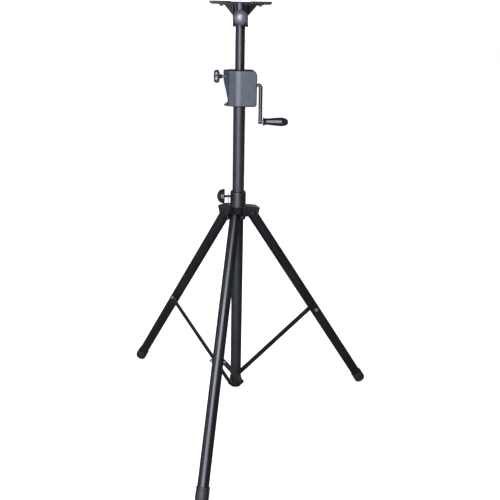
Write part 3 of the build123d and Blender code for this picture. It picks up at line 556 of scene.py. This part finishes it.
def add_dome_knob(prefix, name, lobes, flute_depth):
    """Round knob: fluted rim, smooth dome, recessed ring and a hollow back with a hub."""
    place, outward = lock_frame(prefix)
    origin = place.to_translation()
    node = f"{prefix}_lock_knob"
    low, high = reach_along(node, origin, outward)
    box_low, box_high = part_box(node)
    larger, skirt_height, step_in = (0.0, 7.0, 1.5) if prefix == "hub" else (1.2, 5.0, 2.0)
    rim = (box_high[2] - box_low[2]) / 2 / MM + larger
    skirt = low + skirt_height
    dome_r = rim - step_in

    def outline(angle):
        flute = flute_depth * abs(math.cos(lobes * angle / 2))
        points = [(0, low + 1.0), (7.5, low + 1.0), (8.5, low), (9.5, low + 0.6), (10.5, low + 2.2)]
        points += [(rim - 6, low + 2.2), (rim - 4, low), (rim - 1.4, low)]
        points += [(rim - 0.3 - flute, low + 0.9), (rim - flute, low + 2), (rim - flute, skirt - 1.2)]
        points += [(rim - 0.7 - flute, skirt - 0.3), (dome_r + 0.2, skirt), (dome_r, skirt + 0.3)]
        for step in range(1, 14):
            turn = math.pi / 2 * step / 14
            points.append((dome_r * math.cos(turn), skirt + (high - skirt) * math.sin(turn)))
        return points + [(0, high)]
    bm = bmesh.new()
    spin(bm, outline, place, 144)
    return piece(name, bm, SLOT_OF[node], f"{prefix}_knob", node, sharp=40.0)


def add_lobed_knob():
    """Winch lock knob: four soft lobes, a domed face with a sunk centre, a conical neck."""
    place, outward = lock_frame("mast")
    origin = place.to_translation()
    node = "mast_lock_knob"
    low, high = reach_along(node, origin, outward)
    box_low, box_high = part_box(node)
    rim = (box_high[2] - box_low[2]) / 2 / MM + 4.0
    head = low + 10.5
    thick = high - head
    lobes = 4

    def outline(angle):
        lobe = 0.5 + 0.5 * math.cos(lobes * (angle - math.pi / 4))
        size = rim * (0.74 + 0.26 * lobe ** 0.7)
        points = [(0, low), (5.6, low), (6.2, low + 0.6), (7.2, low + 5), (9.0, head - 0.6), (10.5, head)]
        for step in range(0, 13):
            turn = math.pi * (step / 12 - 0.5)
            bulge = size - thick * 0.36 * (1 - math.cos(turn))
            points.append((bulge, head + thick * (0.5 + 0.5 * math.sin(turn)) * 0.97 + 0.2))
        points += [(11.0, high - 0.2), (9.6, high), (8.6, high - 0.5), (7.8, high - 1.4)]
        return points + [(4.0, high - 1.7), (0, high - 1.8)]
    bm = bmesh.new()
    spin(bm, outline, place, 120)
    knob = piece("winch_knob", bm, SLOT_OF[node], "mast_knob", node, sharp=40.0)
    dress(knob, MATERIALS["knob_plastic"])


# ---- grip ---------------------------------------------------------------------------------
def add_grip():
    """Turned handle with a rolled end ring, and the pin's riveted end sunk in its nose."""
    low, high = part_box("crank_grip")
    centre = middle("crank_grip")
    length = (high[0] - low[0]) / MM
    place = facing((low[0], centre.y, centre.z), (1, 0, 0))
    end_ring = [(0, 0.4), (6.2, 0.4), (6.8, 0), (13.6, 0), (14.6, 0.5), (15.2, 1.4), (15.3, 2.4)]
    waist = [(15.2, 3.4), (13.2, 6.5), (11.9, 12), (12.3, 21), (13.2, 32), (14.8, 50)]
    nose = [(15.8, 66), (15.2, 76), (12.9, 86), (8.2, 92.5), (3.2, length - 0.3)]
    outline = end_ring + smooth(waist + nose) + [(0, length)]
    bm = bmesh.new()
    spin(bm, plain(*outline), place, 96)
    piece("grip_body", bm, SLOT_OF["crank_grip"], "grip", "crank_grip", sharp=50.0)


# ---- feet ---------------------------------------------------------------------------------
def add_feet():
    """Rubber feet: rolled lip, a grip rib, and a blunt end with a rounded rim and tread rings."""
    for name in LEGS:
        node = f"foot_{name}"
        pivot, side, _ = leg_axis(name)
        down = middle(f"leg_bolt_{name}") - pivot
        down -= side * down.dot(side)
        down.normalize()
        start, end = reach_along(node, pivot, down)
        place = facing(pivot, down)
        outer, bore, rim = 24.5, 20.9, 5.5
        tip = end - 8.7

        def outline(angle):
            socket = [(0, 31), (bore, 31), (bore, 0.6), (21.6, 0)]
            lip = [(23.6, 0), (outer, 1.0), (outer, 2.6), (24.2, 3.6)]
            rib = [(24.2, 8.6), (outer, 9.2), (outer, 10.4), (23.4, 11.0), (23.4, 12.6), (outer, 13.2)]
            points = [(radius, start + along) for radius, along in socket + lip + rib]
            points.append((outer, tip - rim))
            for step in range(1, 13):
                turn = math.pi / 2 * step / 12
                points.append((outer - rim + rim * math.cos(turn), tip - rim + rim * math.sin(turn)))
            sunk = tip - 0.9
            for ring in (13.0, 8.5, 4.0):
                points += [(ring + 1.2, tip), (ring + 0.8, sunk), (ring - 0.8, sunk), (ring - 1.2, tip)]
            return points + [(0, tip)]
        bm = bmesh.new()
        spin(bm, outline, place, 96)
        piece(f"tread_{name}", bm, "foot_rubber", f"leg_{name}", node)


# ---- welds --------------------------------------------------------------------------------
def ripple(size, wave=3):
    """Bead radius that swells and dips like the ripples of a weld."""
    rng = random.Random(7)
    jitter = [rng.uniform(-0.12, 0.12) for _ in range(400)]

    def radius(share, index):
        return size * (1 + 0.16 * math.cos(math.tau * index / wave) + jitter[index % 400] * 0.6)
    return radius


def resample(points, step):
    """Even steps along a broken line, points in metres, step in mm."""
    out = [points[0]]
    for a, b in zip(points, points[1:]):
        count = max(1, round((b - a).length / MM / step))
        out += [a.lerp(b, k / count) for k in range(1, count + 1)]
    return out


def add_bracket_welds():
    """Bead up one side of each leg bracket, over its crown and down the other side."""
    hub_r = radius_of("hub_collar")
    for name in LEGS:
        pivot, side, out = leg_axis(name)
        half = reach_along(f"leg_bracket_{name}", pivot, side)[1] * MM
        low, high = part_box(f"leg_bracket_{name}")
        foot, crown = low[2] + 2 * MM, high[2]
        corner = math.asin(half / hub_r)
        path = []

        def on_collar(angle, z):
            spot = out * hub_r * math.cos(angle) + side * hub_r * math.sin(angle)
            return Vector((spot.x, spot.y, z))
        path.append(on_collar(-corner - 0.01, foot))
        path.append(on_collar(-corner - 0.01, crown - 1.5 * MM))
        for step in range(-8, 9):
            angle = corner * step / 8
            reach = hub_r * math.cos(angle)
            path.append(on_collar(angle, crown - (reach - 16 * MM) * 0.16))
        path.append(on_collar(corner + 0.01, crown - 1.5 * MM))
        path.append(on_collar(corner + 0.01, foot))
        bm = bmesh.new()
        sweep(bm, resample(path, 0.8), ripple(1.9))
        piece(f"bracket_weld_{name}", bm, "black_powder_coat", "hub", sharp=80.0)


def add_tab_welds():
    """Two short beads across the foot of the tab beside the hub's lock screw."""
    tab_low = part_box("lock_screw_tab")[0][2]
    hub_r = radius_of("hub_collar")
    bm = bmesh.new()
    for z in (tab_low, tab_low + 3.5 * MM):
        path = []
        for step in range(-8, 9):
            y = 7.0 * MM * step / 8
            path.append(Vector((-math.sqrt(hub_r**2 - y * y), y, z)))
        sweep(bm, resample(path, 0.7), ripple(1.3))
    piece("tab_weld", bm, "black_powder_coat", "hub", sharp=80.0)


def add_boss_welds():
    """Ring of weld around each brace boss, where it meets the collar."""
    collar_r = radius_of("column_tube") + 2.5 * MM
    boss_r = 9.6 * MM
    bm = bmesh.new()
    for name in LEGS:
        joint = JOINTS[f"brace_fold_{name}"]
        side = -Vector(joint["axis"])
        out = side.cross(Vector((0, 0, 1)))
        centre = Vector(joint["pos_m"])
        offset = centre.dot(out)
        path = []
        for step in range(48):
            angle = math.tau * step / 48
            reach = offset + boss_r * math.cos(angle)
            spot = out * reach + side * math.sqrt(collar_r**2 - reach * reach)
            path.append(Vector((spot.x, spot.y, centre.z + boss_r * math.sin(angle))))
        sweep(bm, path, ripple(1.5), closed=True)
    piece("boss_welds", bm, "black_powder_coat", "column", sharp=80.0)


# ---- every piece, in a fixed order --------------------------------------------------------
add_pivot_bolts()
add_brace_pivot_bolts()
add_leg_bolts()
add_cover_screws()
add_plate_bolts()
for prefix, radius in (("hub", 5.0), ("mast", 4.4), ("head", 5.0)):
    add_lock_screw(prefix, radius)
add_dome_knob("hub", "hub_knob_cap", 24, 0.35)
add_dome_knob("head", "head_knob_cap", 30, 0.5)
add_lobed_knob()
add_grip()
add_feet()
add_bracket_welds()
add_tab_welds()
add_boss_welds()


# ---- camera -------------------------------------------------------------------------------
def add_camera():
    """The photo's camera: its place and axes come from a fit of the stand to the picture."""
    camera = bpy.data.objects.new("camera", bpy.data.cameras.new("camera"))
    camera.data.sensor_width = 36.0
    camera.data.lens = 44.833
    right = Vector((0.99969491, -0.01442442, 0.02005028))
    up = Vector((-0.01406857, 0.33468326, 0.94222566))
    place = Matrix.Translation((0.0, -2.359373, 1.558049))
    camera.matrix_world = place @ Matrix((right, up, right.cross(up))).transposed().to_4x4()
    camera.data.clip_start, camera.data.clip_end = 0.05, 100.0
    bpy.context.scene.collection.objects.link(camera)
    bpy.context.scene.camera = camera


# ---- stage --------------------------------------------------------------------------------
def floor_material():
    s = Shader("pale_floor")
    s.surface.inputs["Specular IOR Level"].default_value = 0.1
    s.set(Roughness=0.8)
    tone = s.mix(s.ramp(s.noise(2.0, 4.0), 0.3, 0.7), (0.86, 0.86, 0.86), (0.88, 0.88, 0.88))
    s.bump(s.noise(300.0, 3.0), 0.1, 0.0004)
    return s.finish(tone)


def add_floor():
    mesh = bpy.data.meshes.new("floor")
    bm = bmesh.new()
    bmesh.ops.create_circle(bm, cap_ends=True, segments=96, radius=400.0)
    bm.to_mesh(mesh)
    bm.free()
    floor = bpy.data.objects.new("floor", mesh)
    dress(floor, floor_material())
    bpy.context.scene.collection.objects.link(floor)
    floor.visible_glossy = False


def add_world():
    world = bpy.data.worlds.new("studio")
    bpy.context.scene.world = world
    world.use_nodes = True
    tree = world.node_tree
    seen = tree.nodes["Background"]
    seen.inputs["Color"].default_value = (1.0, 1.0, 1.0, 1.0)
    seen.inputs["Strength"].default_value = 1.25
    reflected = tree.nodes.new("ShaderNodeBackground")
    reflected.inputs["Color"].default_value = (0.95, 0.97, 1.0, 1.0)
    reflected.inputs["Strength"].default_value = 0.12
    path = tree.nodes.new("ShaderNodeLightPath")
    mixed = tree.nodes.new("ShaderNodeMixShader")
    tree.links.new(path.outputs["Is Glossy Ray"], mixed.inputs["Fac"])
    tree.links.new(seen.outputs["Background"], mixed.inputs[1])
    tree.links.new(reflected.outputs["Background"], mixed.inputs[2])
    tree.links.new(mixed.outputs["Shader"], tree.nodes["World Output"].inputs["Surface"])


def add_light(name, place, target, size, power, colour):
    light = bpy.data.lights.new(name, "AREA")
    light.shape = "RECTANGLE"
    light.size, light.size_y = size
    light.energy = power
    light.color = colour
    lamp = bpy.data.objects.new(name, light)
    lamp.location = place
    lamp.rotation_mode = "QUATERNION"
    lamp.rotation_quaternion = (Vector(target) - Vector(place)).to_track_quat("-Z", "Y")
    bpy.context.scene.collection.objects.link(lamp)


def add_lights():
    """A wide front softbox, open where the camera looks through, and weak side and rear fills."""
    sky, y = (0.84, 0.89, 1.0), -2.6
    # name, extent in x, extent in z, watts per square metre
    panels = (
        ("front_left_high", (-1.9, -0.35), (1.55, 3.3), 46.0),
        ("front_left_middle", (-1.9, -0.35), (1.0, 1.55), 14.0),
        ("front_left_low", (-1.9, -0.35), (0.15, 1.0), 33.0),
        ("front_high", (-0.35, 0.5), (1.95, 3.3), 49.5),
        ("front_low", (-0.35, 0.5), (0.15, 1.42), 29.2),
    )
    for name, (left, right), (low, high), strength in panels:
        place = ((left + right) / 2, y, (low + high) / 2)
        size = (right - left, high - low)
        add_light(name, place, (place[0], 0.0, place[2]), size, strength * size[0] * size[1], sky)
    add_light("left_side", (-2.9, -0.8, 1.2), (0, 0, 1.0), (1.2, 2.0), 10.0, (0.90, 0.93, 1.0))
    add_light("rear", (1.4, 3.2, 1.6), (0, 0, 1.1), (1.3, 2.6), 52.0, (0.92, 0.94, 1.0))


add_camera()
add_floor()
add_world()
add_lights()
bpy.context.scene.view_settings.view_transform = "Standard"
